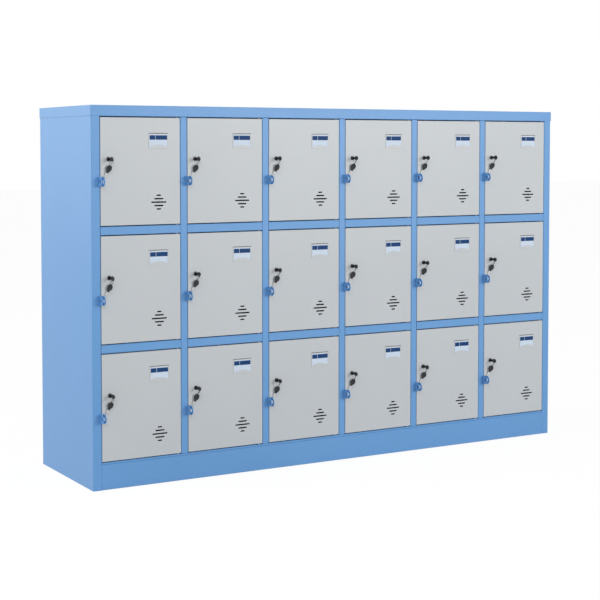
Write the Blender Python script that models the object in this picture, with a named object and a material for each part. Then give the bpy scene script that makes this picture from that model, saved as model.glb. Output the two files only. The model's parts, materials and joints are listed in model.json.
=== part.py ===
"""Low steel locker bank: three tiers of lockable compartments in six columns.

The carcass is folded sheet steel: two side panels, five partitions with boxed front
stiles, shelves with front rails, a ceiling, a floor, a plinth, a back and a top cap.
Each door is a shallow pan on two pivot pins, with a padlock eye, a card holder, five
vent slots and the barrel of a cam lock. The lock's plug, its cam and its key turn in
that barrel. Metres, +Z up, the doors face -Y and the front of the frame is the plane
y = FRONT. The origin is the centre of the bounding box's base.
"""

import math

import bmesh
import bpy
from mathutils import Matrix, Vector

# Overall size and layout
COLUMNS = 6
TIERS = 3
WIDTH = 1.800
DEPTH = 0.450
HEIGHT = 1.186
END_STILE = 0.030
STILE = 0.023
RAIL = 0.026
PLINTH = 0.085
HEAD = 0.034
CAP_BAND = 0.0325

# Sheet steel and its folds
SHEET = 0.0010
BEND = 0.0005
BEND_STEPS = 1
SEAT = 0.0005
JAMB = 0.020
CATCH_LIP = 0.012
RAIL_LIP = 0.008
SILL_LIP = 0.005
EDGE_FLANGE = 0.012
BACK_FLANGE = 0.015
PLINTH_RETURN = 0.025
FOOT_RETURN = 0.030
CAP_ROUND = 0.0015

# Doors
SIDE_GAP = 0.0015
END_GAP = 0.003
DOOR_DEPTH = 0.018
DOOR_ROUND = 0.0012
PIVOT_INSET = 0.009
PIVOT_BACK = 0.0055
PIN_RADIUS = 0.0025
PIN_REACH = 0.0065
PIN_SIDES = 6
RUNNING_GAP = 0.0003

# Vent slots, from the opening's left and bottom edges to the middle of the pattern
VENT_FROM_LEFT = 0.196
VENT_FROM_BOTTOM = 0.0725
VENT_PITCH = 0.0107
VENT_HEIGHT = 0.0046
VENT_LENGTH = 0.052
VENT_LENGTH_SHARES = (0.29, 0.60, 1.0, 0.60, 0.29)

# Card holder, from the opening's left and top edges
HOLDER_FROM_LEFT = 0.195
HOLDER_FROM_TOP = 0.0532
HOLDER_WIDTH = 0.066
HOLDER_HEIGHT = 0.0455
HOLDER_DEPTH = 0.0024
HOLDER_LIP = 0.0010
HOLDER_WALL = 0.0015
HOLDER_RIM = 0.003
HOLDER_ARCH = 0.009

# Padlock eyes, one pair beside each other on the stile and on the door
EYE_FROM_TOP = 0.200
EYE_HEIGHT = 0.029
EYE_REACH = 0.026
EYE_THICKNESS = 0.002
FRAME_EYE_SETBACK = 0.0030
DOOR_EYE_SETBACK = 0.0045
EYE_HOLE_RADIUS = 0.006
EYE_HOLE_OUT = 0.0135
EYE_SIDES = 12

# Cam lock
LOCK_FROM_LEFT = 0.0287
LOCK_FROM_TOP = 0.1313
LOCK_SIDES = 6
FACE_SIDES = 8
FACE_RADIUS = 0.0072
FACE_PROUD = 0.003
BARREL_RADIUS = 0.0052
BARREL_LENGTH = 0.017
NUT_SIDES = 6
NUT_RADIUS = 0.0095
NUT_THICKNESS = 0.004
PLUG_RADIUS = 0.0040
PLUG_PROUD = 0.0006
CAM_LENGTH = 0.037
CAM_WIDTH = 0.012
CAM_THICKNESS = 0.002
CAM_CLEARANCE = 0.0015
SCREW_SIDES = 6
SCREW_RADIUS = 0.0035
SCREW_HEAD = 0.0022

# Key
BLADE_WIDTH = 0.0065
BLADE_THICKNESS = 0.0018
BOW_OUT = 0.0245
BOW_LENGTH = 0.019
BOW_HEIGHT = 0.013
BOW_THICKNESS = 0.0032
BOW_SIDES = 8
BOW_HOLE_RADIUS = 0.0020
BOW_HOLE_OFFSET = 0.0055
BOW_HOLE_SIDES = 6

# Cutters run this far past what they cut, welded shapes sink this far in, and points
# that lie closer than this are one point
OVERRUN = 0.001
WELD = 0.0005
MERGE = 0.00001

# Values worked out from the sizes above
CAP_LAP = SHEET + SEAT
WEB_INSET = SHEET + SEAT
PITCH = (WIDTH - 2 * END_STILE + STILE) / COLUMNS
OPENING_WIDTH = PITCH - STILE
OPENING_HEIGHT = (HEIGHT - PLINTH - HEAD - (TIERS - 1) * RAIL) / TIERS
DOOR_WIDTH = OPENING_WIDTH - 2 * SIDE_GAP
DOOR_HEIGHT = OPENING_HEIGHT - 2 * END_GAP
KEY_REACH = BOW_OUT + BOW_LENGTH / 2
CAP_BACK = (DEPTH - CAP_LAP + KEY_REACH) / 2
FRONT = CAP_BACK - DEPTH + CAP_LAP
BODY_BACK = CAP_BACK - CAP_LAP
BACK_PANEL_FRONT = BODY_BACK - SHEET - SEAT - SHEET
INSIDE_BACK = BACK_PANEL_FRONT - SEAT
SHELF_BACK = INSIDE_BACK - SHEET - SEAT
STILE_BACK = FRONT + JAMB
BODY_TOP = HEIGHT - SHEET - SEAT
CEILING = HEIGHT - HEAD
INSIDE_LEFT = -WIDTH / 2 + CAP_LAP + SHEET
CAM_FRONT = JAMB + CAM_CLEARANCE
DOOR_RIGHT = PIVOT_INSET
DOOR_LEFT = PIVOT_INSET - DOOR_WIDTH
DOOR_FACE = -PIVOT_BACK

BLUE_PAINT = (0.122, 0.332, 0.665)
GREY_PAINT = (0.532, 0.562, 0.586)
DARK_METAL = (0.05, 0.05, 0.055)


def opening_left(column):
    return -WIDTH / 2 + END_STILE + column * PITCH


def opening_bottom(tier):
    return PLINTH + tier * (OPENING_HEIGHT + RAIL)


def web_right(column):
    """Right face of the wall on the left of a column, seen from inside it."""
    if column == 0:
        return INSIDE_LEFT
    return opening_left(column) - STILE + SHEET + WEB_INSET


def web_left(column):
    """Left face of the wall on the right of a column."""
    if column == COLUMNS - 1:
        return -INSIDE_LEFT
    return opening_left(column) + OPENING_WIDTH + WEB_INSET


def pivot(column, tier):
    """Foot of a door's hinge axis, level with the door's bottom edge."""
    x = opening_left(column) + OPENING_WIDTH - SIDE_GAP - PIVOT_INSET
    return Vector((x, FRONT + PIVOT_BACK, opening_bottom(tier) + END_GAP))


def lock_centre(column, tier):
    """Point where a lock's axis meets the front plane of the doors."""
    x = opening_left(column) + LOCK_FROM_LEFT
    return Vector((x, FRONT, opening_bottom(tier) + OPENING_HEIGHT - LOCK_FROM_TOP))


def node_name(prefix, column, tier):
    return f"{prefix}_r{TIERS - tier}_c{column + 1}"


# Mesh helpers

def finish_mesh(bm, name):
    bmesh.ops.recalc_face_normals(bm, faces=bm.faces)
    mesh = bpy.data.meshes.new(name)
    bm.to_mesh(mesh)
    bm.free()
    return mesh


def thicken(bm, faces, axis, place):
    """Extrude open faces to a place on an axis, which closes them into a solid."""
    for item in bmesh.ops.extrude_face_region(bm, geom=faces)["geom"]:
        if isinstance(item, bmesh.types.BMVert):
            item.co[axis] = place


def extrude_to(bm, faces, axis, place):
    """Extrude faces of a solid to a place on an axis, and drop the faces left inside."""
    thicken(bm, faces, axis, place)
    inner = [face for face in faces if face.is_valid]
    bmesh.ops.delete(bm, geom=inner, context="FACES")


def prism(outline, axis, start, end):
    """Mesh of an outline in the plane across an axis, extruded between two places on it.

    The outline's pairs are (x, y) across Z, (x, z) across Y and (y, z) across X.
    """
    along = "XYZ".index(axis)
    bm = bmesh.new()
    corners = []
    for pair in outline:
        corner = list(pair)
        corner.insert(along, start)
        corners.append(bm.verts.new(corner))
    thicken(bm, [bm.faces.new(corners)], along, end)
    return finish_mesh(bm, "prism")


def box(low, high):
    """Mesh of a box between two corners."""
    outline = [(low[0], low[1]), (high[0], low[1]), (high[0], high[1]), (low[0], high[1])]
    return prism(outline, "Z", low[2], high[2])


def disc(sides, radius):
    """Points of a regular outline whose flats lie up, down, left and right."""
    turn = 2 * math.pi / sides
    return [
        (radius * math.cos(turn * (side + 0.5)), radius * math.sin(turn * (side + 0.5)))
        for side in range(sides)
    ]


def around(radius, sides):
    """Corner radius of a regular outline whose flats clear a round of a given radius."""
    return radius / math.cos(math.pi / sides)


def shifted(outline, across, up):
    return [(a + across, b + up) for a, b in outline]


def combine(base, others, operation):
    """Mesh left when a Boolean joins others to a base mesh, or cuts them out of it."""
    scene = bpy.context.scene.collection
    target = bpy.data.objects.new("base", base)
    scene.objects.link(target)
    helpers = []
    for other in others:
        helper = bpy.data.objects.new("helper", other)
        helper.hide_render = True
        helper.display_type = "WIRE"
        scene.objects.link(helper)
        modifier = target.modifiers.new("combine", "BOOLEAN")
        modifier.operation = operation
        modifier.object = helper
        helpers.append(helper)
    bpy.context.view_layer.update()
    result = bpy.data.meshes.new_from_object(
        target.evaluated_get(bpy.context.evaluated_depsgraph_get())
    )
    for used in [target, *helpers]:
        bpy.data.objects.remove(used)
    return result


def moved(mesh, matrix):
    copy = mesh.copy()
    copy.transform(matrix)
    return copy


def folded(path, steps=BEND_STEPS):
    """Outline of sheet folded at each inner point of a path with square corners.

    The path is one skin of the sheet, and the metal lies on its right-hand side.
    """
    points = [Vector(point) for point in path]
    runs = [(after - before).normalized() for before, after in zip(points, points[1:])]
    rights = [Vector((run.y, -run.x)) for run in runs]
    skin = [points[0]]
    inner = [points[0] + SHEET * rights[0]]
    for corner, run, right, run_out, right_out in zip(
        points[1:], runs, rights, runs[1:], rights[1:]
    ):
        away = 1 if run.cross(run_out) < 0 else -1
        skin_radius = BEND + SHEET if away > 0 else BEND
        centre = corner + skin_radius * away * (right + right_out)
        for step in range(steps + 1):
            angle = math.pi / 2 * step / steps
            spoke = away * (right * math.cos(angle) + right_out * math.sin(angle))
            skin.append(centre - skin_radius * spoke)
            inner.append(centre - (skin_radius - away * SHEET) * spoke)
    skin.append(points[-1])
    inner.append(points[-1] + SHEET * rights[-1])
    return [tuple(point) for point in skin + inner[::-1]]


# Materials

def paint(name, colour, metallic, roughness):
    material = bpy.data.materials.get(name)
    if material is None:
        material = bpy.data.materials.new(name)
        material.use_nodes = True
        shader = material.node_tree.nodes["Principled BSDF"]
        shader.inputs["Base Color"].default_value = (*colour, 1)
        shader.inputs["Metallic"].default_value = metallic
        shader.inputs["Roughness"].default_value = roughness
    return material


def blue_paint():
    return paint("blue_paint", BLUE_PAINT, metallic=0.0, roughness=0.4)


def grey_paint():
    return paint("grey_paint", GREY_PAINT, metallic=0.0, roughness=0.45)


def dark_metal():
    return paint("dark_metal", DARK_METAL, metallic=0.8, roughness=0.35)


def add_node(name, mesh, material, location=(0, 0, 0), parent=None):
    """Named object at a world place, under a parent that stays where it is."""
    thing = bpy.data.objects.new(name, mesh)
    bpy.context.scene.collection.objects.link(thing)
    if not mesh.materials:
        mesh.materials.append(material)
    thing.location = Vector(location)
    if parent is not None:
        thing.parent = parent
        thing.location = Vector(location) - parent.location
    return thing


# Carcass

def eye(root):
    """Padlock eye across X: a tongue with a round end and hole, its root at y = root."""
    radius = EYE_HEIGHT / 2
    middle = EYE_REACH - radius
    half = EYE_SIDES // 2
    arc = [
        (
            -middle - radius * math.sin(math.pi * step / half),
            radius * math.cos(math.pi * step / half),
        )
        for step in range(half + 1)
    ]
    tongue = prism([(root, radius), *arc, (root, -radius)], "X", 0, EYE_THICKNESS)
    hole = shifted(disc(EYE_SIDES, around(EYE_HOLE_RADIUS, EYE_SIDES)), -EYE_HOLE_OUT, 0)
    cutter = prism(hole, "X", -OVERRUN, EYE_THICKNESS + OVERRUN)
    return combine(tongue, [cutter], "DIFFERENCE")


def eye_heights():
    return [opening_bottom(tier) + OPENING_HEIGHT - EYE_FROM_TOP for tier in range(TIERS)]


def stile_eyes(opening_edge):
    """Eyes welded to a stile, just left of the opening whose left edge is given."""
    x = opening_edge - FRAME_EYE_SETBACK - EYE_THICKNESS
    return [
        moved(eye(WELD), Matrix.Translation((x, FRONT, height))) for height in eye_heights()
    ]


def side_panel_path():
    """Left side seen from above: catch lip, jamb, stile, side skin and back flange."""
    left = -WIDTH / 2 + CAP_LAP
    edge = opening_left(0)
    return [
        (edge - CATCH_LIP, STILE_BACK),
        (edge, STILE_BACK),
        (edge, FRONT),
        (left, FRONT),
        (left, BODY_BACK),
        (left + BACK_FLANGE, BODY_BACK),
    ]


def left_side_panel():
    panel = prism(folded(side_panel_path()), "Z", 0, BODY_TOP)
    mesh = combine(panel, stile_eyes(opening_left(0)), "UNION")
    return add_node("left_side_panel", mesh, blue_paint())


def right_side_panel():
    outline = [(-x, y) for x, y in folded(side_panel_path())]
    return add_node("right_side_panel", prism(outline, "Z", 0, BODY_TOP), blue_paint())


def partition(column):
    """Wall on the left of a column, with its boxed stile and the column's eyes.

    The wall lies at the stile's left, which leaves room for the cams behind its right.
    """
    edge = opening_left(column)
    web = web_right(column)
    path = [
        (web + EDGE_FLANGE, INSIDE_BACK - SHEET),
        (web, INSIDE_BACK - SHEET),
        (web, STILE_BACK),
        (edge, STILE_BACK),
        (edge, FRONT),
        (edge - STILE, FRONT),
        (edge - STILE, STILE_BACK),
    ]
    panel = prism(folded(path), "Z", PLINTH + SEAT, CEILING - SEAT)
    mesh = combine(panel, stile_eyes(edge), "UNION")
    return add_node(f"partition_{column}", mesh, blue_paint())


def pin_holes(columns, bottom, top):
    """Cutters for the door pins in the sheets that lie between two heights."""
    radius = around(PIN_RADIUS + RUNNING_GAP, PIN_SIDES)
    cutters = []
    for column in columns:
        axis = pivot(column, 0)
        outline = shifted(disc(PIN_SIDES, radius), axis.x, axis.y)
        cutters.append(prism(outline, "Z", bottom - OVERRUN, top + OVERRUN))
    return cutters


def facing(bm, axis, place, keep):
    """Faces that lie across an axis at a place on it, and whose middle is kept."""
    return [
        face
        for face in bm.faces
        if all(abs(vert.co[axis] - place) < MERGE for vert in face.verts)
        and keep(face.calc_center_median())
    ]


def tray(left, right, neck, back, level, away):
    """Plate behind the stiles with a fold along both ends and the back.

    Level is the plate's outer face. The folds go down where away is -1 and up where
    it is 1. The neck is half the width of the opening, about a middle, where the
    plate goes on to the front.
    """
    front = STILE_BACK + SEAT
    columns = [left, left + SHEET, *neck, right - SHEET, right]
    rows = [front, back - SHEET, back]
    bm = bmesh.new()
    grid = [[bm.verts.new((x, y, level)) for x in columns] for y in rows]
    for near, far in zip(grid, grid[1:]):
        for index in range(len(columns) - 1):
            bm.faces.new((near[index], near[index + 1], far[index + 1], far[index]))
    inside = level + away * SHEET
    thicken(bm, bm.faces[:], 2, inside)
    folds = facing(
        bm,
        2,
        inside,
        lambda middle: not (
            left + SHEET < middle.x < right - SHEET and middle.y < back - SHEET
        ),
    )
    extrude_to(bm, folds, 2, level + away * EDGE_FLANGE)
    return bm


def necked_sheet(path, ends, left, right, back, level, away):
    """Folded front between two ends joined to the tray behind it, as one sheet."""
    bm = tray(left, right, ends, back, level, away)
    bm.from_mesh(prism(folded(path), "X", *ends))
    front = STILE_BACK + SEAT
    seam = facing(bm, 1, front, lambda middle: ends[0] < middle.x < ends[1])
    bmesh.ops.delete(bm, geom=seam, context="FACES_ONLY")
    bmesh.ops.remove_doubles(bm, verts=bm.verts, dist=MERGE)
    return finish_mesh(bm, "sheet")


def shelf(column, tier):
    """Shelf above a tier: front rail, plate between the walls and its folds."""
    bottom = opening_bottom(tier) + OPENING_HEIGHT
    top = bottom + RAIL
    path = [
        (STILE_BACK, bottom + RAIL_LIP),
        (STILE_BACK, bottom),
        (FRONT, bottom),
        (FRONT, top),
        (STILE_BACK + SEAT, top),
    ]
    ends = (opening_left(column) + SEAT, opening_left(column) + OPENING_WIDTH - SEAT)
    left, right = web_right(column) + SEAT, web_left(column) - SEAT
    sheet = necked_sheet(path, ends, left, right, SHELF_BACK, top, -1)
    mesh = combine(sheet, pin_holes([column], bottom, top), "DIFFERENCE")
    return add_node(node_name("shelf", column, tier), mesh, blue_paint())


def full_width_sheet(name, path, level, away):
    """Panel from side to side whose front lies between the end stiles."""
    neck = -opening_left(0) - SEAT
    edge = -INSIDE_LEFT - SEAT
    sheet = necked_sheet(path, (-neck, neck), -edge, edge, INSIDE_BACK, level, away)
    low, high = sorted((level, level + away * SHEET))
    mesh = combine(sheet, pin_holes(range(COLUMNS), low, high), "DIFFERENCE")
    return add_node(name, mesh, blue_paint())


def floor_panel():
    path = [(FRONT, PLINTH - SILL_LIP), (FRONT, PLINTH), (STILE_BACK + SEAT, PLINTH)]
    return full_width_sheet("floor_panel", path, PLINTH, -1)


def ceiling_panel():
    path = [(STILE_BACK + SEAT, CEILING), (FRONT, CEILING), (FRONT, BODY_TOP)]
    return full_width_sheet("ceiling_panel", path, CEILING, 1)


def plinth_panel():
    top = PLINTH - SILL_LIP - SEAT
    path = [(FRONT + PLINTH_RETURN, 0), (FRONT, 0), (FRONT, top), (STILE_BACK - SEAT, top)]
    edge = -opening_left(0) - SEAT
    return add_node("plinth_panel", prism(folded(path), "X", -edge, edge), blue_paint())


def back_panel():
    back = BACK_PANEL_FRONT + SHEET
    path = [(back, BODY_TOP), (back, 0), (back - FOOT_RETURN, 0)]
    edge = -INSIDE_LEFT - SEAT
    return add_node("back_panel", prism(folded(path), "X", -edge, edge), blue_paint())


def top_cap():
    """Tray over the whole carcass, open below, its band standing proud of the panels."""
    bm = bmesh.new()
    size = Matrix.Diagonal((WIDTH, DEPTH, CAP_BAND, 1))
    centre = Matrix.Translation((0, CAP_BACK - DEPTH / 2, HEIGHT - CAP_BAND / 2))
    bmesh.ops.create_cube(bm, size=1, matrix=centre @ size)
    bottom = HEIGHT - CAP_BAND / 2
    edges = [
        edge
        for edge in bm.edges
        if edge.verts[0].co.z > bottom or edge.verts[1].co.z > bottom
    ]
    bmesh.ops.bevel(
        bm, geom=edges, offset=CAP_ROUND, segments=2, profile=0.5, affect="EDGES", material=-1
    )
    floor = min(bm.faces, key=lambda face: face.calc_center_median().z)
    bmesh.ops.inset_region(bm, faces=[floor], thickness=SHEET, use_even_offset=True)
    extrude_to(bm, [floor], 2, HEIGHT - SHEET)
    return add_node("top_cap", finish_mesh(bm, "top_cap"), blue_paint())


# Doors, built about their hinge axis: x = 0, y = 0 and z = 0 at the bottom edge

def on_door(from_left, height):
    """Place on the door's face, from the opening's left edge and the door's bottom."""
    return Vector((DOOR_LEFT - SIDE_GAP + from_left, DOOR_FACE, height))


def from_opening_top(drop):
    """Height above the door's bottom edge of a place below the opening's top."""
    return OPENING_HEIGHT - END_GAP - drop


def door_pan():
    """Face sheet with a fold on all four sides, open at the back."""
    bm = bmesh.new()
    size = Matrix.Diagonal((DOOR_WIDTH, DOOR_DEPTH, DOOR_HEIGHT, 1))
    centre = Matrix.Translation(
        ((DOOR_LEFT + DOOR_RIGHT) / 2, DOOR_FACE + DOOR_DEPTH / 2, DOOR_HEIGHT / 2)
    )
    bmesh.ops.create_cube(bm, size=1, matrix=centre @ size)
    middle = DOOR_FACE + DOOR_DEPTH / 2
    edges = [
        edge
        for edge in bm.edges
        if edge.verts[0].co.y < middle or edge.verts[1].co.y < middle
    ]
    bmesh.ops.bevel(
        bm, geom=edges, offset=DOOR_ROUND, segments=1, profile=0.5, affect="EDGES", material=-1
    )
    rear = max(bm.faces, key=lambda face: face.calc_center_median().y)
    bmesh.ops.inset_region(bm, faces=[rear], thickness=SHEET, use_even_offset=True)
    extrude_to(bm, [rear], 1, DOOR_FACE + SHEET)
    return finish_mesh(bm, "pan")


def vent_cutters():
    middle = on_door(VENT_FROM_LEFT, VENT_FROM_BOTTOM - END_GAP)
    first = middle.z - VENT_PITCH * (len(VENT_LENGTH_SHARES) - 1) / 2
    cutters = []
    for row, share in enumerate(VENT_LENGTH_SHARES):
        half = VENT_LENGTH * share / 2
        height = first + row * VENT_PITCH
        low = (middle.x - half, DOOR_FACE - OVERRUN, height - VENT_HEIGHT / 2)
        high = (middle.x + half, DOOR_FACE + SHEET + OVERRUN, height + VENT_HEIGHT / 2)
        cutters.append(box(low, high))
    return cutters


def pivot_pins():
    """Pins that stand out of the bottom and top folds on the hinge axis."""
    outline = disc(PIN_SIDES, PIN_RADIUS)
    return [
        prism(outline, "Z", -PIN_REACH, SHEET / 2),
        prism(outline, "Z", DOOR_HEIGHT - SHEET / 2, DOOR_HEIGHT + PIN_REACH),
    ]


def door_eye():
    height = from_opening_top(EYE_FROM_TOP)
    x = DOOR_LEFT - SIDE_GAP + DOOR_EYE_SETBACK
    return moved(eye(WELD), Matrix.Translation((x, DOOR_FACE, height)))


def holder_foot():
    """Middle of the card holder's bottom edge."""
    return on_door(HOLDER_FROM_LEFT, from_opening_top(HOLDER_FROM_TOP + HOLDER_HEIGHT))


def holder_outline():
    """U-shaped outline of the card holder, open at the top, with an arched bottom lip."""
    half = HOLDER_WIDTH / 2
    rim = HOLDER_RIM
    arch = HOLDER_ARCH
    inner = half - rim
    tall = HOLDER_HEIGHT
    return [
        (-half, 0),
        (half, 0),
        (half, tall),
        (inner, tall),
        (inner, rim),
        (inner / 2, rim + arch),
        (-inner / 2, rim + arch),
        (-inner, rim),
        (-inner, tall),
        (-half, tall),
    ]


def card_holder():
    """Raised U of the card holder, its root in the door's face."""
    foot = holder_foot()
    outline = shifted(holder_outline(), foot.x, foot.z)
    return prism(outline, "Y", DOOR_FACE - HOLDER_DEPTH, DOOR_FACE + WELD)


def card_pocket():
    """Space behind the holder's lips that a card slides into from above."""
    foot = holder_foot()
    half = HOLDER_WIDTH / 2 - HOLDER_WALL
    front = DOOR_FACE - HOLDER_DEPTH + HOLDER_LIP
    low = (foot.x - half, front, foot.z + HOLDER_WALL)
    return box(low, (foot.x + half, DOOR_FACE - SEAT, foot.z + HOLDER_HEIGHT + OVERRUN))


def lock_column(outline, start, end):
    """Solid of an outline about the lock's axis between two depths behind the face."""
    axis = on_door(LOCK_FROM_LEFT, from_opening_top(LOCK_FROM_TOP))
    return prism(shifted(outline, axis.x, axis.z), "Y", DOOR_FACE + start, DOOR_FACE + end)


def lock_housing():
    """Lock's face flange, its barrel through the door and the nut behind the sheet."""
    return [
        lock_column(disc(FACE_SIDES, FACE_RADIUS), -FACE_PROUD, WELD),
        lock_column(disc(LOCK_SIDES, around(BARREL_RADIUS, LOCK_SIDES)), -WELD, BARREL_LENGTH),
        lock_column(disc(NUT_SIDES, NUT_RADIUS), SHEET - WELD, SHEET + NUT_THICKNESS),
    ]


def plug_bore():
    radius = around(PLUG_RADIUS + RUNNING_GAP, LOCK_SIDES)
    return lock_column(disc(LOCK_SIDES, radius), -FACE_PROUD - OVERRUN, BARREL_LENGTH + OVERRUN)


def door_mesh():
    """Door pan with all that is fixed to it, as one body."""
    cut = combine(door_pan(), vent_cutters(), "DIFFERENCE")
    fitted = [*pivot_pins(), door_eye(), card_holder(), *lock_housing()]
    whole = combine(cut, fitted, "UNION")
    return combine(whole, [card_pocket(), plug_bore()], "DIFFERENCE")


# Locks, built about their axis with the door's front face at y = 0

def key():
    """Key in the plane x = 0, its blade in the plug and its bow upright in front."""
    half = BOW_THICKNESS / 2
    oval = [
        (along * BOW_LENGTH / 2 - BOW_OUT, up * BOW_HEIGHT / 2)
        for along, up in disc(BOW_SIDES, around(1, BOW_SIDES))
    ]
    bow = prism(oval, "X", -half, half)
    hole = shifted(
        disc(BOW_HOLE_SIDES, around(BOW_HOLE_RADIUS, BOW_HOLE_SIDES)),
        -BOW_OUT - BOW_HOLE_OFFSET,
        0,
    )
    cutter = prism(hole, "X", -half - OVERRUN, half + OVERRUN)
    blade = box(
        (-BLADE_THICKNESS / 2, -BOW_OUT + BOW_LENGTH / 2 - OVERRUN, -BLADE_WIDTH / 2),
        (BLADE_THICKNESS / 2, -FACE_PROUD, BLADE_WIDTH / 2),
    )
    return combine(combine(bow, [cutter], "DIFFERENCE"), [blade], "UNION")


def cam_plate():
    """Plate that hangs from the plug's tail."""
    half = CAM_WIDTH / 2
    shoulder = half - CAM_LENGTH
    outline = [
        (-half, shoulder),
        (-half / 2, -CAM_LENGTH),
        (half / 2, -CAM_LENGTH),
        (half, shoulder),
        (half, half / 2),
        (half / 2, half),
        (-half / 2, half),
        (-half, half / 2),
    ]
    return prism(outline, "Y", CAM_FRONT, CAM_FRONT + CAM_THICKNESS)


def lock_mesh():
    """Plug, key, cam and cam screw, which turn together, as one body."""
    rear = CAM_FRONT + CAM_THICKNESS
    plug = prism(disc(LOCK_SIDES, PLUG_RADIUS), "Y", -FACE_PROUD - PLUG_PROUD, rear - WELD)
    screw = prism(disc(SCREW_SIDES, SCREW_RADIUS), "Y", rear - 2 * WELD, rear + SCREW_HEAD)
    return combine(plug, [key(), cam_plate(), screw], "UNION")


def doors_and_locks():
    door, lock = door_mesh(), lock_mesh()
    for tier in range(TIERS):
        for column in range(COLUMNS):
            leaf = add_node(
                node_name("door", column, tier), door, grey_paint(), pivot(column, tier)
            )
            centre = lock_centre(column, tier)
            add_node(node_name("lock", column, tier), lock, dark_metal(), centre, parent=leaf)


def clear_scene():
    for thing in list(bpy.data.objects):
        bpy.data.objects.remove(thing)


def main():
    clear_scene()
    top_cap()
    ceiling_panel()
    left_side_panel()
    right_side_panel()
    back_panel()
    floor_panel()
    plinth_panel()
    for column in range(1, COLUMNS):
        partition(column)
    for tier in range(TIERS - 1):
        for column in range(COLUMNS):
            shelf(column, tier)
    doors_and_locks()


if __name__ == "__main__":
    main()
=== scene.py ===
"""Dresses the packed frame of a cube locker: coats, welds, doors, cards, locks and keys.

The stage around it has a camera, four lamps, even light and a pale floor. Every length is in
metres, in the frame's own axes: the doors face -Y and +Z is up.
"""

import json
import math

import bmesh
import bpy
from mathutils import Matrix, Vector

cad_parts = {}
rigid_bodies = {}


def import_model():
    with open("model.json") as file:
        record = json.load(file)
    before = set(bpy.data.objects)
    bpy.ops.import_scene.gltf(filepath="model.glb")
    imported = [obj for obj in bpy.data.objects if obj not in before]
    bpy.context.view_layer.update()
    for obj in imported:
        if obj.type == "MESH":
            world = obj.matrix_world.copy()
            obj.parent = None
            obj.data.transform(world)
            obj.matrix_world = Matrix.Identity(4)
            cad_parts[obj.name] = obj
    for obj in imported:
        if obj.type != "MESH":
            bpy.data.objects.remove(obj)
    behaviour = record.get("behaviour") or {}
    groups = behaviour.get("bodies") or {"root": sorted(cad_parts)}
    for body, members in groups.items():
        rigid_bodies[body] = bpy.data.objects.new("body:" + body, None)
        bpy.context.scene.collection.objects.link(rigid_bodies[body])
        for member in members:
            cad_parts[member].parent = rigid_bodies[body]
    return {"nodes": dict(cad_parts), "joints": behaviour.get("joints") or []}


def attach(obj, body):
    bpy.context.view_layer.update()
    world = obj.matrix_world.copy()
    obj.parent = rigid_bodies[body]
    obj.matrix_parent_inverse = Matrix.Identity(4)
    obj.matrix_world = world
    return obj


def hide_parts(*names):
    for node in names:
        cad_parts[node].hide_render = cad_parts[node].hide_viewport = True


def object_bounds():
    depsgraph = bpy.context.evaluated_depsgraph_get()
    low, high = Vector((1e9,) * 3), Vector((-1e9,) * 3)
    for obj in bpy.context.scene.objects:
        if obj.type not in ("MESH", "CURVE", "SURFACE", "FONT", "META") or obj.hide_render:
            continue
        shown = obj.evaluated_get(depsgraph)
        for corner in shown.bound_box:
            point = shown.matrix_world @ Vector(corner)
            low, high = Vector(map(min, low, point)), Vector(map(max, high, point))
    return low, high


bl_info = {
    "name": "Cube locker",
    "version": (1, 0, 0),
    "blender": (4, 5, 0),
    "location": "View3D > Sidebar > Locker",
    "description": "Dresses the packed frame of a cube locker",
    "category": "Add Mesh",
}

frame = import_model()
FRAME_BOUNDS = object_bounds()
HINGES = {
    joint["child"]: Vector(joint["pos_m"])
    for joint in frame["joints"]
    if joint["name"].startswith("door_hinge")
}
LOCK_AXES = {
    joint["parent"]: Vector(joint["pos_m"])
    for joint in frame["joints"]
    if joint["name"].startswith("lock_turn")
}
DOORS = sorted(HINGES)


# Settings in the sidebar

def length(name, description, default):
    return bpy.props.FloatProperty(
        name=name, description=description, default=default, precision=4, unit="LENGTH"
    )


def share(name, description, default):
    return bpy.props.FloatProperty(
        name=name, description=description, default=default, min=0, max=1, subtype="FACTOR"
    )


def turn(name, description, default):
    return bpy.props.FloatProperty(
        name=name, description=description, default=math.radians(default), subtype="ANGLE"
    )


def colour(name, description, default):
    return bpy.props.FloatVectorProperty(
        name=name, description=description, default=default, min=0, max=1, subtype="COLOR"
    )


class LockerColours(bpy.types.PropertyGroup):
    """Colours of the coats, metals and cards."""

    frame: colour("Frame", "Powder coat of the carcass and the padlock eyes", (0.129, 0.335, 0.665))
    door: colour("Doors", "Powder coat of the doors", (0.547, 0.578, 0.602))
    # The turned keys' blades take this dark colour, while the spare keys' blades are nickel
    lock: colour(
        "Locks", "Plating of cases, plugs, rings and turned keys' blades", (0.050, 0.050, 0.055)
    )
    nickel: colour(
        "Nickel", "Nuts, cams, screws and the blades of the spare keys", (0.550, 0.550, 0.540)
    )
    bow: colour("Key bows", "Plastic of the key bows", (0.012, 0.012, 0.014))
    card: colour("Cards", "Paper of the cards", (0.640, 0.740, 0.870))
    band: colour("Card bands", "Printed band on the cards", (0.008, 0.050, 0.170))


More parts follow.
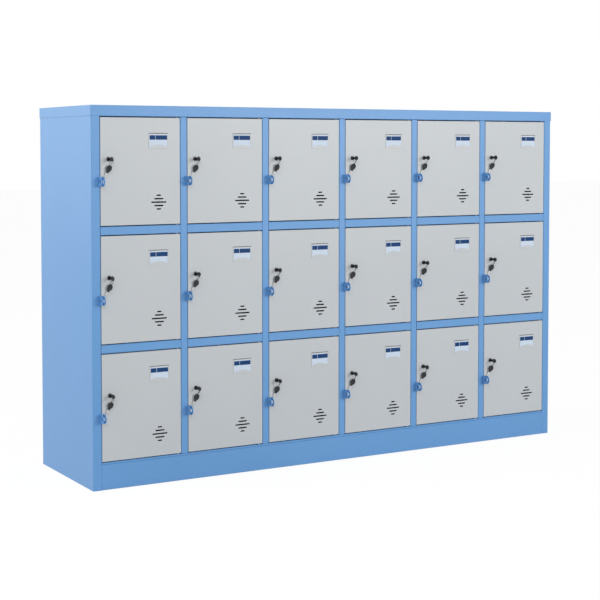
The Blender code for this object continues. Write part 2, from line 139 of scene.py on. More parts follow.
class LockerDoor(bpy.types.PropertyGroup):
    """Sizes of a door leaf and what is fixed to it."""

    width: length("Width", "Width of a leaf", 0.26783)
    height: length("Height", "Height of a leaf", 0.33233)
    depth: length("Depth", "Depth of the folded edges", 0.018)
    sheet: length("Sheet", "Thickness of the sheet", 0.001)
    fold: length("Fold", "Outer radius of the folds", 0.0012)
    pivot_inset: length("Pivot inset", "From the hinge axis to the right edge", 0.009)
    pivot_back: length("Pivot back", "From the face back to the hinge axis", 0.0055)
    pin: length("Pin", "Radius of the pivot pins", 0.0024)
    pin_reach: length("Pin reach", "How far the pins stand out", 0.0065)
    side_gap: length("Side gap", "From a leaf's sides to its opening", 0.0015)
    end_gap: length("End gap", "From a leaf's top and bottom to its opening", 0.003)
    vent_left: length("Vents from left", "From the opening's left edge to the slots' middle", 0.196)
    vent_foot: length(
        "Vents from bottom", "From the opening's bottom edge to the middle slot", 0.0725
    )
    vent_pitch: length("Vent pitch", "From slot to slot", 0.0107)
    vent_height: length("Vent height", "Height of a slot", 0.0046)
    vent_length: length("Vent length", "Length of the longest slot", 0.052)


class LockerHolder(bpy.types.PropertyGroup):
    """Sizes of the card holder and its card."""

    left: length("From left", "From the opening's left edge to its middle", 0.195)
    top: length("From top", "From the opening's top edge to its top", 0.0532)
    width: length("Width", "Width of the holder", 0.066)
    height: length("Height", "Height of the holder", 0.0455)
    depth: length("Depth", "How far it stands proud", 0.0010)
    rim: length("Rim", "Width of the lips at its sides and bottom", 0.003)
    arch: length("Arch", "Height of the arched bottom lip", 0.012)
    slit: length("Slit", "Height of the slit above the card", 0.0018)
    paper: length("Paper", "Thickness of the card", 0.0005)
    band_top: length("Band from top", "From the card's top to its band", 0.0025)
    band: length("Band", "Height of the printed band", 0.0138)
    split: length("Split", "Gap that parts the band", 0.0012)
    split_share: share("Split place", "Where the gap parts the band", 0.34)


class LockerEye(bpy.types.PropertyGroup):
    """Sizes of the padlock eye on a door."""

    top: length("From top", "From the opening's top edge to its middle", 0.200)
    left: length("From left", "From the opening's left edge", 0.0045)
    height: length("Height", "Height of the eye", 0.029)
    reach: length("Reach", "How far it stands out", 0.026)
    thickness: length("Thickness", "Thickness of the eye", 0.002)
    hole: length("Hole", "Radius of its hole", 0.0060)
    hole_out: length("Hole out", "From the face to the hole's middle", 0.0135)


class LockerLock(bpy.types.PropertyGroup):
    """Sizes of the cam lock."""

    bore: length("Bore", "Radius of the plug's bore", 0.0043)
    plug: length("Plug", "Radius of the plug", 0.0040)
    plug_proud: length("Plug proud", "How far the plug stands past the flange", 0.0006)
    flange: length("Flange", "Radius of the flange", 0.0072)
    flange_proud: length("Flange proud", "How far the flange stands out", 0.003)
    barrel: length("Barrel", "Radius of the barrel", 0.0052)
    barrel_length: length("Barrel length", "From the face to the barrel's rear", 0.017)
    nut: length("Nut", "Radius over the nut's corners", 0.0095)
    nut_thickness: length("Nut thickness", "Thickness of the nut", 0.004)
    cam_place: length("Cam place", "From the face to the cam's front", 0.0215)
    cam_length: length("Cam length", "From the axis to the cam's end", 0.037)
    cam_width: length("Cam width", "Width of the cam", 0.012)
    cam: length("Cam", "Thickness of the cam", 0.002)
    screw: length("Screw", "Radius of the screw's head", 0.0035)
    screw_head: length("Screw head", "Height of the screw's head", 0.0022)


class LockerKey(bpy.types.PropertyGroup):
    """Sizes of the keys and their ring."""

    out: length("Bow out", "From the face to the middle of the bow", 0.0245)
    bow: length("Bow", "Half length of the bow", 0.0095)
    bow_width: length("Bow width", "Half width of the bow", 0.0072)
    spare_scale: bpy.props.FloatProperty(
        name="Spare scale", description="Size of the spare's bow beside the other", default=1.15
    )
    thickness: length("Thickness", "Thickness of the bow", 0.0032)
    hole: length("Hole", "Radius of the bow's hole", 0.0011)
    hole_in: length("Hole in", "From the bow's end to its hole's middle", 0.0032)
    collar: length("Collar", "Length of the collar at the bow's foot", 0.004)
    blade: length("Blade", "Length of the blade", 0.019)
    blade_width: length("Blade width", "Width of the blade", 0.0065)
    blade_thickness: length("Blade thickness", "Thickness of the blade", 0.0018)
    wire: length("Wire", "Radius of the ring's wire", 0.0006)
    ring_turn: turn("Ring turn", "Turn of the ring about the line between the holes", -45)
    spare_hole: bpy.props.FloatVectorProperty(
        name="Spare hole",
        description="From the lock's axis to the hole of the spare key",
        default=(0.0010, -0.0095, -0.0218),
        subtype="TRANSLATION",
    )
    spare_turn: turn("Spare turn", "Turn of the spare key about the vertical", -25)
    spare_lean: turn("Spare lean", "Lean of the spare key to the left", 26)


class LockerWeld(bpy.types.PropertyGroup):
    """Weld beads behind the plinth's ends."""

    bead: length("Bead", "Radius of a bead", 0.0016)
    pitch: length("Pitch", "From one ripple to the next", 0.0022)
    ripple: share("Ripple", "How much narrower a bead is between its ripples", 0.12)
    sheet: length("Sheet", "Thickness of the sheet in front of the beads", 0.0010)


class LockerStage(bpy.types.PropertyGroup):
    """Camera, lights and floor."""

    camera: bpy.props.FloatVectorProperty(
        name="Camera",
        description="Place of the camera",
        default=(-2.5201, -4.2568, 1.0557),
        subtype="TRANSLATION",
    )
    yaw: turn("Yaw", "Turn of the camera to the right of +Y", 30.188)
    pitch: turn("Pitch", "Tilt of the camera below the horizon", 2.8)
    lens: bpy.props.FloatProperty(
        name="Lens", description="Focal length", default=85.188, unit="CAMERA"
    )
    shift: bpy.props.FloatProperty(
        name="Shift", description="Vertical shift of the frame", default=-0.13805
    )
    floor: colour("Floor", "Colour of the floor", (0.60, 0.60, 0.60))
    floor_size: length("Floor size", "Side of the square floor", 60.0)
    floor_roughness: share("Floor roughness", "Roughness of the floor", 0.9)
    floor_glow: share("Floor glow", "How far the floor is plain white in a picture", 0.90)
    glow: bpy.props.FloatProperty(
        name="Glow", description="Strength of the floor's plain white", default=1.05
    )
    air: bpy.props.FloatProperty(
        name="Air", description="Strength of the even light around", default=0.44
    )


# Mesh tools

# Edges over the first angle are rounded, and edges over the second are shaded sharp
ROUND_ABOVE = math.radians(50)
SHARP_ABOVE = math.radians(40)
# Points of a spun profile that lie closer than this become one
MERGE_WITHIN = 1e-6


def block(low, high):
    """Box between two corners."""
    low, high = Vector(low), Vector(high)
    shape = bmesh.new()
    size = Matrix.Diagonal((*(high - low), 1))
    bmesh.ops.create_cube(shape, size=1, matrix=Matrix.Translation((low + high) / 2) @ size)
    return shape


def rod(radius, start, end, sides):
    """Round or many-sided rod along Y between two depths."""
    shape = bmesh.new()
    place = Matrix.Translation((0, (start + end) / 2, 0)) @ Matrix.Rotation(math.pi / 2, 4, "X")
    bmesh.ops.create_cone(
        shape,
        cap_ends=True,
        segments=sides,
        radius1=radius,
        radius2=radius,
        depth=end - start,
        matrix=place,
    )
    return shape


def turned(profile, closed=False, steps=40):
    """Round shape about Y from points of (radius, depth)."""
    shape = bmesh.new()
    points = [shape.verts.new((radius, depth, 0)) for radius, depth in profile]
    ends = [*points[1:], points[0]] if closed else points[1:]
    edges = [shape.edges.new(pair) for pair in zip(points, ends)]
    bmesh.ops.spin(
        shape,
        geom=points + edges,
        cent=(0, 0, 0),
        axis=(0, 1, 0),
        angle=2 * math.pi,
        steps=steps,
        use_merge=True,
    )
    bmesh.ops.remove_doubles(shape, verts=shape.verts, dist=MERGE_WITHIN)
    bmesh.ops.recalc_face_normals(shape, faces=shape.faces)
    return shape


def soften(shape, radius, steps=2):
    """Rounds the sharp edges of a shape."""
    edges = [edge for edge in shape.edges if edge.calc_face_angle(0) > ROUND_ABOVE]
    round_edges(shape, edges, radius, steps)
    return shape


def round_edges(shape, edges, radius, steps):
    bmesh.ops.bevel(
        shape,
        geom=edges,
        offset=radius,
        segments=steps,
        profile=0.5,
        affect="EDGES",
        material=-1,
        clamp_overlap=True,
    )


def as_mesh(shape):
    mesh = bpy.data.meshes.new("shape")
    shape.to_mesh(mesh)
    shape.free()
    return mesh


def cut(shape, cutters):
    """Shape left when cutters are taken out of it."""
    collection = bpy.context.scene.collection
    target = bpy.data.objects.new("target", as_mesh(shape))
    collection.objects.link(target)
    helpers = []
    for cutter in cutters:
        helper = bpy.data.objects.new("cutter", as_mesh(cutter))
        collection.objects.link(helper)
        modifier = target.modifiers.new("cut", "BOOLEAN")
        modifier.operation = "DIFFERENCE"
        modifier.object = helper
        helpers.append(helper)
    depsgraph = bpy.context.evaluated_depsgraph_get()
    result = bmesh.new()
    result.from_mesh(target.evaluated_get(depsgraph).to_mesh())
    for thing in [target, *helpers]:
        bpy.data.meshes.remove(thing.data)
    return result


def joined(*parts):
    """Mesh of several shapes, each with its own material, smooth but for sharp edges."""
    whole = bmesh.new()
    mesh = bpy.data.meshes.new("stock")
    for shape, material in parts:
        index = mesh.materials.find(material.name)
        if index < 0:
            index = len(mesh.materials)
            mesh.materials.append(material)
        for face in shape.faces:
            face.material_index = index
        part = as_mesh(shape)
        whole.from_mesh(part)
        bpy.data.meshes.remove(part)
    for face in whole.faces:
        face.smooth = True
    for edge in whole.edges:
        edge.smooth = edge.calc_face_angle(0) < SHARP_ABOVE
    whole.to_mesh(mesh)
    whole.free()
    return mesh


def fit(name, stock, place, body):
    """Piece made from a copy of a mesh, set in place and riding on a body."""
    mesh = stock.copy()
    mesh.name = name
    mesh.transform(Matrix.Translation(place))
    piece = bpy.data.objects.new(name, mesh)
    bpy.context.scene.collection.objects.link(piece)
    normals = piece.modifiers.new("normals", "WEIGHTED_NORMAL")
    normals.keep_sharp = True
    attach(piece, body)
    return piece


# Material tools

class Wire:
    """Output of a node that takes part in Python sums."""

    def __init__(self, finish, socket):
        self.finish = finish
        self.socket = socket

    def maths(self, operation, first, second):
        return self.finish.node("ShaderNodeMath", {"operation": operation}, {0: first, 1: second})

    def __add__(self, other):
        return self.maths("ADD", self, other)

    __radd__ = __add__

    def __mul__(self, other):
        return self.maths("MULTIPLY", self, other)

    __rmul__ = __mul__


class Finish:
    """Node tree of a material or of the world, built node by node."""

    def __init__(self, tree):
        self.tree = tree

    def node(self, kind, settings, sockets, output=0):
        made = self.tree.nodes.new(kind)
        for name, value in settings.items():
            setattr(made, name, value)
        for name, value in sockets.items():
            self.feed(made.inputs[name], value)
        return Wire(self, made.outputs[output])

    def feed(self, socket, value):
        if isinstance(value, Wire):
            self.tree.links.new(value.socket, socket)
        else:
            socket.default_value = value

    def noise(self, scale, detail=2):
        places = self.node("ShaderNodeTexCoord", {}, {}, "Object")
        return self.node(
            "ShaderNodeTexNoise", {}, {"Vector": places, "Scale": scale, "Detail": detail}
        )

    def between(self, factor, low, high):
        return self.node(
            "ShaderNodeMix", {"data_type": "RGBA"}, {0: factor, 6: (*low, 1), 7: (*high, 1)}, 2
        )

    def dust(self, falloff=6):
        """1 on level faces that look up, falling quickly to 0 on slopes."""
        normal = self.node("ShaderNodeTexCoord", {}, {}, "Normal")
        upward = self.node("ShaderNodeSeparateXYZ", {}, {"Vector": normal}, "Z")
        return upward.maths("POWER", upward.maths("MAXIMUM", upward, 0), falloff)

    def bump(self, height, strength, distance):
        return self.node(
            "ShaderNodeBump",
            {},
            {"Height": height, "Strength": strength, "Distance": distance},
        )


def seen_directly(finish):
    """1 for what the camera sees straight, in a mirror or through glass, otherwise 0."""
    ways = [
        finish.node("ShaderNodeLightPath", {}, {}, way)
        for way in ("Is Camera Ray", "Is Glossy Ray", "Is Transmission Ray")
    ]
    return finish.node(
        "ShaderNodeClamp", {}, {"Value": ways[0] + ways[1] + ways[2], "Min": 0.0, "Max": 1.0}
    )


def principled(name, sockets):
    """Material with one Principled shader, its plain sockets set, and its finish."""
    material = bpy.data.materials.new(name)
    material.use_nodes = True
    finish = Finish(material.node_tree)
    shader = material.node_tree.nodes["Principled BSDF"]
    for socket, value in sockets.items():
        shader.inputs[socket].default_value = value
    return material, finish, shader


def shaded(tone, factor):
    return tuple(min(1, channel * factor) for channel in tone)


def mottle(finish, shader, pattern, tone, dark, light):
    """Base colour that a pattern takes from a darker to a lighter shade of a tone."""
    mixed = finish.between(pattern, shaded(tone, dark), shaded(tone, light))
    finish.feed(shader.inputs["Base Color"], mixed)


def powder_coat(name, tone):
    """Satin powder coat: clouds in its colour, the ripple of baked paint, dull dust on top."""
    material, finish, shader = principled(name, {"Specular IOR Level": 0.5, "Coat Weight": 0})
    clouds = finish.noise(scale=2.2, detail=3)
    mottle(finish, shader, clouds, tone, dark=0.965, light=1.035)
    sheen = finish.noise(scale=55)
    roughness = 0.34 + 0.08 * sheen + 0.5 * finish.dust()
    finish.feed(shader.inputs["Roughness"], roughness)
    ripple = finish.noise(scale=620, detail=1) + 0.4 * finish.noise(scale=1700, detail=0)
    finish.feed(shader.inputs["Normal"], finish.bump(ripple, strength=0.22, distance=0.00012))
    return material


def cast_metal(name, tone, roughness):
    """Plated die casting or key metal with fine brushed grain."""
    material, finish, shader = principled(name, {"Metallic": 1.0})
    stains = finish.noise(scale=240, detail=3)
    mottle(finish, shader, stains, tone, dark=0.85, light=1.15)
    grain = finish.noise(scale=2600, detail=1)
    finish.feed(shader.inputs["Roughness"], roughness - 0.06 + 0.12 * grain)
    finish.feed(shader.inputs["Normal"], finish.bump(grain, strength=0.15, distance=0.00004))
    return material


def moulded_plastic(name, tone):
    """Black moulded plastic with a fine spark-eroded grain."""
    material, finish, shader = principled(name, {"Specular IOR Level": 0.45})
    grain = finish.noise(scale=1900)
    mottle(finish, shader, grain, tone, dark=0.8, light=1.3)
    finish.feed(shader.inputs["Roughness"], 0.34 + 0.16 * grain)
    finish.feed(shader.inputs["Normal"], finish.bump(grain, strength=0.25, distance=0.00005))
    return material


def printed_paper(name, tone):
    """Smooth card stock with a little fibre and tone."""
    material, finish, shader = principled(name, {"Specular IOR Level": 0.15})
    fibre = finish.noise(scale=900, detail=4)
    mottle(finish, shader, fibre, tone, dark=0.93, light=1.05)
    finish.feed(shader.inputs["Roughness"], 0.42 + 0.1 * fibre)
    finish.feed(shader.inputs["Normal"], finish.bump(fibre, strength=0.1, distance=0.00003))
    return material


def kept(name, make, *values):
    """Material by name, made the first time that it is asked for."""
    return bpy.data.materials.get(name) or make(name, *values)


def frame_coat():
    return kept("frame_coat", powder_coat, bpy.context.scene.locker_colours.frame)


def door_coat():
    return kept("door_coat", powder_coat, bpy.context.scene.locker_colours.door)


def lock_metal():
    return kept("lock_metal", cast_metal, bpy.context.scene.locker_colours.lock, 0.28)


def key_nickel():
    return kept("key_nickel", cast_metal, bpy.context.scene.locker_colours.nickel, 0.50)


def bow_plastic():
    return kept("bow_plastic", moulded_plastic, bpy.context.scene.locker_colours.bow)


def card_paper():
    return kept("card_paper", printed_paper, bpy.context.scene.locker_colours.card)


def card_print():
    return kept("card_print", printed_paper, bpy.context.scene.locker_colours.band)


# Door leaf, about its hinge axis, with its bottom edge at z = 0

def door_edges(door):
    """Left edge, right edge and face of a leaf about its hinge axis."""
    return door.pivot_inset - door.width, door.pivot_inset, -door.pivot_back


def on_door(door, left, top):
    """Place on the face, from the opening's left and top edges."""
    edge, _, face = door_edges(door)
    return Vector((edge - door.side_gap + left, face, door.height + door.end_gap - top))


def pan(door):
    """Face sheet folded back on all four sides, open at the rear."""
    left, right, face = door_edges(door)
    shape = block((left, face, 0), (right, face + door.depth, door.height))
    middle = face + door.depth / 2
    edges = [e for e in shape.edges if min(v.co.y for v in e.verts) < middle]
    round_edges(shape, edges, door.fold, steps=3)
    rear = max(shape.faces, key=lambda side: side.calc_center_median().y)
    bmesh.ops.inset_region(shape, faces=[rear], thickness=door.sheet, use_even_offset=True)
    inner = bmesh.ops.extrude_discrete_faces(shape, faces=[rear])["faces"]
    move = (0, door.sheet - door.depth, 0)
    bmesh.ops.translate(shape, vec=move, verts=inner[0].verts)
    return shape


def slot_cutter(middle, width, height, depth):
    """Cutter for a slot with round ends, across a sheet behind its middle."""
    shape = rod(height / 2, -depth, 2 * depth, sides=20)
    half = (width - height) / 2
    for side in (-1, 1):
        end = [vert for vert in shape.verts if side * vert.co.x > height / 100]
        bmesh.ops.translate(shape, vec=(side * half, 0, 0), verts=end)
    bmesh.ops.translate(shape, vec=middle, verts=shape.verts)
    return shape


def vents(door):
    """Cutters for the slots, longest in the middle."""
    length_shares = (0.29, 0.60, 1.0, 0.60, 0.29)
    foot = door.height + 2 * door.end_gap - door.vent_foot
    cutters = []
    for row, length_share in enumerate(length_shares):
        drop = foot + (row - (len(length_shares) - 1) / 2) * door.vent_pitch
        middle = on_door(door, door.vent_left, drop)
        width = door.vent_length * length_share
        cutters.append(slot_cutter(middle, width, door.vent_height, door.sheet))
    return cutters


def card_slit(door, holder):
    """Cutter for the slit in the sheet above the card."""
    middle = on_door(door, holder.left, holder.top - holder.slit)
    return slot_cutter(middle, holder.width, holder.slit, door.sheet)


def pins(door):
    """Pivot pins at the bottom and the top of the hinge axis."""
    shapes = []
    for low, high in (
        (-door.pin_reach, door.sheet / 2),
        (door.height - door.sheet / 2, door.height + door.pin_reach),
    ):
        shape = rod(door.pin, low, high, sides=24)
        bmesh.ops.rotate(shape, matrix=Matrix.Rotation(math.pi / 2, 3, "X"), verts=shape.verts)
        shapes.append(soften(shape, door.pin / 4))
    return shapes


def door_eye(door, eye):
    """Tongue with a round end and a hole, square to the face."""
    radius = eye.height / 2
    centre = radius - eye.reach
    shape = rod(radius, 0, eye.thickness, sides=48)
    bmesh.ops.rotate(shape, matrix=Matrix.Rotation(-math.pi / 2, 3, "Z"), verts=shape.verts)
    bmesh.ops.translate(shape, vec=(0, centre, 0), verts=shape.verts)
    # The rear half becomes a straight root, sunk a little into the door's sheet
    for vert in shape.verts:
        if vert.co.y > centre + radius / 100:
            vert.co.y = eye.thickness / 4
    hole = rod(eye.hole, -eye.thickness, 2 * eye.thickness, sides=28)
    bmesh.ops.rotate(hole, matrix=Matrix.Rotation(-math.pi / 2, 3, "Z"), verts=hole.verts)
    bmesh.ops.translate(hole, vec=(0, -eye.hole_out, 0), verts=hole.verts)
    shape = soften(cut(shape, [hole]), eye.thickness / 6)
    place = on_door(door, eye.left, eye.top)
    bmesh.ops.translate(shape, vec=place, verts=shape.verts)
    return shape


def holder_frame(door, holder):
    """Rim at both sides and the bottom of the card, open at the top."""
    foot = on_door(door, holder.left, holder.top + holder.height)
    half = holder.width / 2
    inner = half - holder.rim
    shape = block((-half, -holder.depth, 0), (half, door.sheet / 2, holder.height))
    window = block(
        (-inner, -2 * holder.depth, holder.rim),
        (inner, door.sheet, holder.height + holder.rim),
    )
    shape = soften(cut(shape, [window]), holder.depth / 5)
    bmesh.ops.translate(shape, vec=foot, verts=shape.verts)
    return shape


def holder_lip(door, holder):
    """Arched lip in front of the card's foot."""
    foot = on_door(door, holder.left, holder.top + holder.height)
    inner = holder.width / 2 - holder.rim / 2
    front, rear = -holder.depth * 0.9, -holder.paper * 1.2
    shape = rod(1, front, rear, sides=64)
    bmesh.ops.scale(shape, vec=(inner, 1, holder.arch), verts=shape.verts)
    bmesh.ops.bisect_plane(
        shape,
        geom=[*shape.verts, *shape.edges, *shape.faces],
        plane_co=(0, 0, holder.rim / 2),
        plane_no=(0, 0, 1),
        clear_inner=True,
    )
    bmesh.ops.holes_fill(shape, edges=shape.edges)
    soften(shape, (rear - front) / 4)
    bmesh.ops.translate(shape, vec=foot, verts=shape.verts)
    return shape


def leaf(scene):
    """Door leaf with its pins, eye and card holder."""
    door, holder, coat = scene.locker_door, scene.locker_holder, door_coat()
    sheet = cut(pan(door), [*vents(door), card_slit(door, holder)])
    fixed = [
        *pins(door),
        holder_frame(door, holder),
        holder_lip(door, holder),
    ]
    eye = door_eye(door, scene.locker_eye)
    return joined((sheet, coat), *((shape, coat) for shape in fixed), (eye, frame_coat()))


def card(scene):
    """Card with a printed band in two lengths."""
    door, holder = scene.locker_door, scene.locker_holder
    foot = on_door(door, holder.left, holder.top + holder.height)
    half = (holder.width - holder.rim) / 2
    top = holder.height - holder.slit
    front = -holder.paper
    paper = block((-half, front, holder.rim / 2), (half, -holder.paper / 3, top))
    seen = holder.width / 2 - holder.rim
    high = top - holder.band_top
    split = seen * (2 * holder.split_share - 1)
    bands = [
        block((low, front - holder.paper / 10, high - holder.band), (end, front / 2, high))
        for low, end in (
            (-seen, split - holder.split / 2),
            (split + holder.split / 2, seen),
        )
    ]
    for shape in [paper, *bands]:
        bmesh.ops.translate(shape, vec=foot, verts=shape.verts)
    return joined((paper, card_paper()), *((band, card_print()) for band in bands))


# Lock and keys, about the lock's axis with the door's face at y = 0

def lock_case(scene):
    """Flange, barrel and nut of the cam lock."""
    lock, door = scene.locker_lock, scene.locker_door
    proud = lock.flange_proud
    profile = [
        (lock.bore, -proud),
        (lock.flange * 0.80, -proud),
        (lock.flange * 0.93, -proud * 0.85),
        (lock.flange, -proud * 0.45),
        (lock.flange, 0),
        (lock.barrel, 0),
        (lock.barrel, lock.barrel_length),
        (lock.bore, lock.barrel_length),
    ]
    case = turned(profile, closed=True)
    nut = rod(lock.nut, door.sheet, door.sheet + lock.nut_thickness, sides=6)
    soften(nut, lock.nut_thickness / 10)
    return joined((case, lock_metal()), (nut, key_nickel()))


def key_plate(key, scale, blade_length):
    """Key with its bow's middle at the origin, lying across Y, its blade along +X."""
    reach = key.bow * scale
    bow = rod(1, -key.thickness / 2, key.thickness / 2, sides=48)
    bmesh.ops.scale(bow, vec=(reach, 1, key.bow_width * scale), verts=bow.verts)
    hole = rod(key.hole, -key.thickness, key.thickness, sides=28)
    bmesh.ops.translate(hole, vec=(key.hole_in - reach, 0, 0), verts=hole.verts)
    bow = soften(cut(bow, [hole]), key.thickness / 5, steps=3)
    wide = key.blade_width * 0.62
    thick = key.thickness * 0.42
    collar = block((reach * 0.6, -thick, -wide), (reach + key.collar, thick, wide))
    soften(collar, key.thickness / 6)
    half = key.blade_width / 2
    end = reach + blade_length
    blade = block((reach, -key.blade_thickness / 2, -half), (end, key.blade_thickness / 2, half))
    return bow, collar, blade


def notched(key, blade, start, count):
    """Blade with cuts of uneven depth along one edge."""
    pitch = (key.blade - key.collar) / (count + 1)
    cutters = []
    for index in range(count):
        depth = key.blade_width * (0.20 + 0.12 * ((index * 2) % 3))
        tooth = rod(depth * 1.6, -key.blade_thickness, key.blade_thickness, sides=4)
        place = (start + pitch * (index + 1), 0, key.blade_width / 2 + depth * 0.5)
        bmesh.ops.translate(tooth, vec=place, verts=tooth.verts)
        cutters.append(tooth)
    return cut(blade, cutters)


def turned_key(key, lock):
    """Key in the plug, its bow upright, its blade towards the door."""
    shapes = key_plate(key, 1, key.out - key.bow - lock.flange_proud)
    # Swapping X and Y mirrors the key, so its normals are recalculated
    upright = Matrix(((0, 1, 0), (1, 0, 0), (0, 0, 1)))
    for shape in shapes:
        bmesh.ops.rotate(shape, matrix=upright, verts=shape.verts)
        bmesh.ops.translate(shape, vec=(0, -key.out, 0), verts=shape.verts)
        bmesh.ops.recalc_face_normals(shape, faces=shape.faces)
    return shapes


def cam_plate(lock):
    """Cam that hangs from the plug's tail, with round corners."""
    half = lock.cam_width / 2
    shape = block(
        (-half, lock.cam_place, -lock.cam_length), (half, lock.cam_place + lock.cam, half)
    )
    corners = [e for e in shape.edges if abs(e.verts[0].co.y - e.verts[1].co.y) > lock.cam / 2]
    round_edges(shape, corners, half * 0.6, steps=5)
    return soften(shape, lock.cam / 6)


def plug_and_key(scene):
    """Plug, cam and screw with the key in the plug, which turn together."""
    lock = scene.locker_lock
    front = -lock.flange_proud - lock.plug_proud
    rear = lock.cam_place + lock.cam
    plug = turned(
        [
            (0, front),
            (lock.plug * 0.9, front),
            (lock.plug, front + lock.plug * 0.1),
            (lock.plug, rear - lock.cam / 2),
            (0, rear - lock.cam / 2),
        ]
    )
    screw = turned(
        [
            (0, rear - lock.cam / 4),
            (lock.screw, rear - lock.cam / 4),
            (lock.screw, rear + lock.screw_head * 0.5),
            (lock.screw * 0.7, rear + lock.screw_head),
            (0, rear + lock.screw_head),
        ]
    )
    bow, collar, blade = turned_key(scene.locker_key, lock)
    return joined(
        (plug, lock_metal()),
        (cam_plate(lock), key_nickel()),
        (screw, key_nickel()),
        (bow, bow_plastic()),
        (collar, bow_plastic()),
        # The blade of the key in the plug takes the dark lock colour, darker than the spare key's
        # nickel blade
        (blade, lock_metal()),
    )


def key_ring(key):
    """Wire ring that joins the turned key's hole and the spare's."""
    top = Vector((0, key.hole_in - key.out - key.bow, 0))
    foot = Vector(key.spare_hole)
    down = (foot - top).normalized()
    across = Vector((1, 0, 0)) - down.x * down
    across = Matrix.Rotation(key.ring_turn, 3, down) @ across.normalized()
    place = Matrix((down, across.cross(down), across)).transposed().to_4x4()
    place.translation = (top + foot) / 2
    shape = bmesh.new()
    bmesh.ops.create_circle(
        shape,
        segments=8,
        radius=key.wire,
        matrix=Matrix.Translation(((foot - top).length / 2, 0, 0)),
    )
    bmesh.ops.spin(
        shape,
        geom=[*shape.verts, *shape.edges],
        cent=(0, 0, 0),
        axis=(0, 1, 0),
        angle=2 * math.pi,
        steps=40,
        use_merge=True,
    )
    bmesh.ops.recalc_face_normals(shape, faces=shape.faces)
    bmesh.ops.transform(shape, matrix=place, verts=shape.verts)
    return shape


def spare_key(key):
    """Spare key that hangs from the ring and lies close to the door."""
    reach = key.bow * key.spare_scale
    bow, collar, blade = key_plate(key, key.spare_scale, key.blade)
    blade = notched(key, blade, reach + key.collar, 4)
    place = (
        Matrix.Translation(key.spare_hole)
        @ Matrix.Rotation(key.spare_turn, 4, "Z")
        @ Matrix.Rotation(math.pi / 2 + key.spare_lean, 4, "Y")
        @ Matrix.Translation((reach - key.hole_in, 0, 0))
    )
    for shape in (bow, collar, blade):
        bmesh.ops.transform(shape, matrix=place, verts=shape.verts)
    return (bow, bow_plastic()), (collar, bow_plastic()), (blade, key_nickel())


def ring_and_spare(scene):
    """Ring with the spare key on it."""
    key = scene.locker_key
    return joined((key_ring(key), lock_metal()), *spare_key(key))


# Welds of the plinth

def box_of(thing):
    """Low and high corner of an object's box."""
    corners = [thing.matrix_world @ Vector(corner) for corner in thing.bound_box]
    return Vector(map(min, zip(*corners))), Vector(map(max, zip(*corners)))


def weld_bead(weld, height):
    """Rippled bead that stands on the origin."""
    count = round(height / weld.pitch)
    neck = weld.bead * (1 - weld.ripple)
    profile = [(0, 0)]
    for index in range(count):
        profile += [(neck, index * height / count), (weld.bead, (index + 0.5) * height / count)]
    shape = turned([*profile, (neck, height), (0, height)], steps=12)
    bmesh.ops.rotate(shape, matrix=Matrix.Rotation(math.pi / 2, 3, "X"), verts=shape.verts)
    return shape


# Operators

# Name, place, side in metres and power in watts of each lamp
LAMPS = (
    ("key_light", (-3.2, -4.6, 4.2), 3.0, 65),
    ("front_light", (3.4, -6.2, 2.4), 3.0, 197),
    ("left_light", (-4.4, 0.6, 3.6), 2.4, 99.5),
    ("side_light", (-3.4, 3.4, 1.8), 2.4, 27.6),
)


class LOCKER_OT_stage(bpy.types.Operator):
    """Makes the camera, the lights, the even light around and the floor"""

    bl_idname = "locker.stage"
    bl_label = "Stage"

    def execute(self, context):
        stage = context.scene.locker_stage
        context.scene.view_settings.view_transform = "Standard"
        self.add_camera(context, stage)
        for lamp in LAMPS:
            self.add_light(context, *lamp)
        self.light_air(context, stage)
        self.add_floor(context, stage)
        return {"FINISHED"}

    def add_camera(self, context, stage):
        data = bpy.data.cameras.new("camera")
        data.lens = stage.lens
        data.shift_y = stage.shift
        data.clip_end = stage.floor_size
        camera = bpy.data.objects.new("camera", data)
        camera.location = stage.camera
        camera.rotation_euler = (math.pi / 2 - stage.pitch, 0, -stage.yaw)
        context.scene.collection.objects.link(camera)
        context.scene.camera = camera

    def add_light(self, context, name, place, size, power):
        """Square lamp that looks at the middle of the locker."""
        data = bpy.data.lights.new(name, "AREA")
        data.size = size
        data.energy = power
        light = bpy.data.objects.new(name, data)
        middle = (FRAME_BOUNDS[0] + FRAME_BOUNDS[1]) / 2
        light.location = place
        light.rotation_euler = (middle - light.location).to_track_quat("-Z", "Y").to_euler()
        light.visible_camera = False
        context.scene.collection.objects.link(light)

    def light_air(self, context, stage):
        """Even light around, which pictures and reflections see as white."""
        world = bpy.data.worlds.new("air")
        world.use_nodes = True
        context.scene.world = world
        finish = Finish(world.node_tree)
        seen = seen_directly(finish)
        strength = stage.air + (1 - stage.air) * seen
        background = world.node_tree.nodes["Background"]
        background.inputs["Color"].default_value = (1, 1, 1, 1)
        finish.feed(background.inputs["Strength"], strength)

    def add_floor(self, context, stage):
        shape = bmesh.new()
        bmesh.ops.create_grid(shape, size=stage.floor_size / 2)
        floor = bpy.data.objects.new("floor", as_mesh(shape))
        context.scene.collection.objects.link(floor)
        material, finish, shader = principled(
            "floor_paper", {"Base Color": (*stage.floor, 1), "Roughness": stage.floor_roughness}
        )
        lit = Wire(finish, shader.outputs[0])
        white = finish.node(
            "ShaderNodeEmission", {}, {"Color": (1, 1, 1, 1), "Strength": stage.glow}
        )
        factor = stage.floor_glow * seen_directly(finish)
        mixed = finish.node("ShaderNodeMixShader", {}, {0: factor, 1: lit, 2: white})
        finish.feed(material.node_tree.nodes["Material Output"].inputs["Surface"], mixed)
        floor.data.materials.append(material)


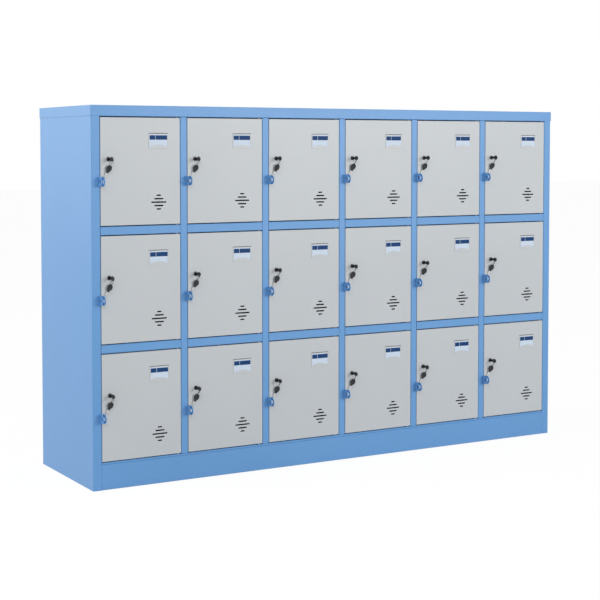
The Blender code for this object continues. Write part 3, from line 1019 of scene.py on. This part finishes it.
class LOCKER_OT_carcass(bpy.types.Operator):
    """Coats the panels, partitions, shelves, plinth and cap"""

    bl_idname = "locker.carcass"
    bl_label = "Carcass coat"

    def execute(self, context):
        for name, thing in frame["nodes"].items():
            if not name.startswith(("door_", "lock_")):
                for slot in thing.material_slots:
                    slot.material = frame_coat()
        return {"FINISHED"}


class LOCKER_OT_welds(bpy.types.Operator):
    """Makes the beads that close the gaps at the plinth's ends"""

    bl_idname = "locker.welds"
    bl_label = "Plinth welds"

    def execute(self, context):
        weld = context.scene.locker_weld
        plinth = frame["nodes"]["plinth_panel"]
        low, high = box_of(plinth)
        bead = weld_bead(weld, high.z - low.z - 2 * weld.sheet)
        stock = joined((bead, frame_coat()))
        for side, end in (("left", low.x), ("right", high.x)):
            place = (end, low.y + weld.sheet + weld.bead / 2, low.z + weld.sheet)
            fit("weld_" + side, stock, place, "carcass")
        return {"FINISHED"}


class LOCKER_OT_leaves(bpy.types.Operator):
    """Makes the door leaves with their pins, eyes and card holders"""

    bl_idname = "locker.leaves"
    bl_label = "Door leaves"

    def execute(self, context):
        stock = leaf(context.scene)
        for door in DOORS:
            piece = fit(door.replace("door", "leaf"), stock, HINGES[door], door)
            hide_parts(door)
        return {"FINISHED"}


class LOCKER_OT_cards(bpy.types.Operator):
    """Makes the cards in the holders"""

    bl_idname = "locker.cards"
    bl_label = "Cards"

    def execute(self, context):
        stock = card(context.scene)
        for door in DOORS:
            fit(door.replace("door", "card"), stock, HINGES[door], door)
        return {"FINISHED"}


class LOCKER_OT_lock_cases(bpy.types.Operator):
    """Makes the flanges, barrels and nuts of the cam locks"""

    bl_idname = "locker.lock_cases"
    bl_label = "Lock cases"

    def execute(self, context):
        stock = lock_case(context.scene)
        for door in DOORS:
            fit(door.replace("door", "lock_case"), stock, LOCK_AXES[door], door)
        return {"FINISHED"}


class LOCKER_OT_plugs(bpy.types.Operator):
    """Makes the plugs with their cams and keys"""

    bl_idname = "locker.plugs"
    bl_label = "Plugs and keys"

    def execute(self, context):
        stock = plug_and_key(context.scene)
        for door in DOORS:
            lock = door.replace("door", "lock")
            name = door.replace("door", "plug_and_key")
            piece = fit(name, stock, LOCK_AXES[door], lock)
            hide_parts(lock)
        return {"FINISHED"}


class LOCKER_OT_spares(bpy.types.Operator):
    """Makes the rings with their spare keys"""

    bl_idname = "locker.spares"
    bl_label = "Rings and spare keys"

    def execute(self, context):
        stock = ring_and_spare(context.scene)
        for door in DOORS:
            name = door.replace("door", "ring_and_spare")
            fit(name, stock, LOCK_AXES[door], door)
        return {"FINISHED"}


class LOCKER_PT_panel(bpy.types.Panel):
    """Lists the locker's operators and settings"""

    bl_idname = "LOCKER_PT_panel"
    bl_label = "Cube locker"
    bl_space_type = "VIEW_3D"
    bl_region_type = "UI"
    bl_category = "Locker"

    def draw(self, context):
        for operator in OPERATORS:
            self.layout.operator(operator.bl_idname)
        for name, group in GROUPS.items():
            box = self.layout.box()
            box.label(text=group.__doc__)
            settings = getattr(context.scene, name)
            for setting in group.__annotations__:
                box.prop(settings, setting)


GROUPS = {
    "locker_colours": LockerColours,
    "locker_door": LockerDoor,
    "locker_holder": LockerHolder,
    "locker_eye": LockerEye,
    "locker_lock": LockerLock,
    "locker_key": LockerKey,
    "locker_weld": LockerWeld,
    "locker_stage": LockerStage,
}
OPERATORS = (
    LOCKER_OT_stage,
    LOCKER_OT_carcass,
    LOCKER_OT_welds,
    LOCKER_OT_leaves,
    LOCKER_OT_cards,
    LOCKER_OT_lock_cases,
    LOCKER_OT_plugs,
    LOCKER_OT_spares,
)


def register():
    for item in (*GROUPS.values(), *OPERATORS, LOCKER_PT_panel):
        bpy.utils.register_class(item)
    for name, group in GROUPS.items():
        setattr(bpy.types.Scene, name, bpy.props.PointerProperty(type=group))


def unregister():
    for name in GROUPS:
        delattr(bpy.types.Scene, name)
    for item in (LOCKER_PT_panel, *reversed(OPERATORS), *reversed(GROUPS.values())):
        bpy.utils.unregister_class(item)


def main():
    register()
    bpy.ops.locker.stage()
    bpy.ops.locker.carcass()
    bpy.ops.locker.welds()
    bpy.ops.locker.leaves()
    bpy.ops.locker.cards()
    bpy.ops.locker.lock_cases()
    bpy.ops.locker.plugs()
    bpy.ops.locker.spares()


if __name__ == "__main__":
    main()
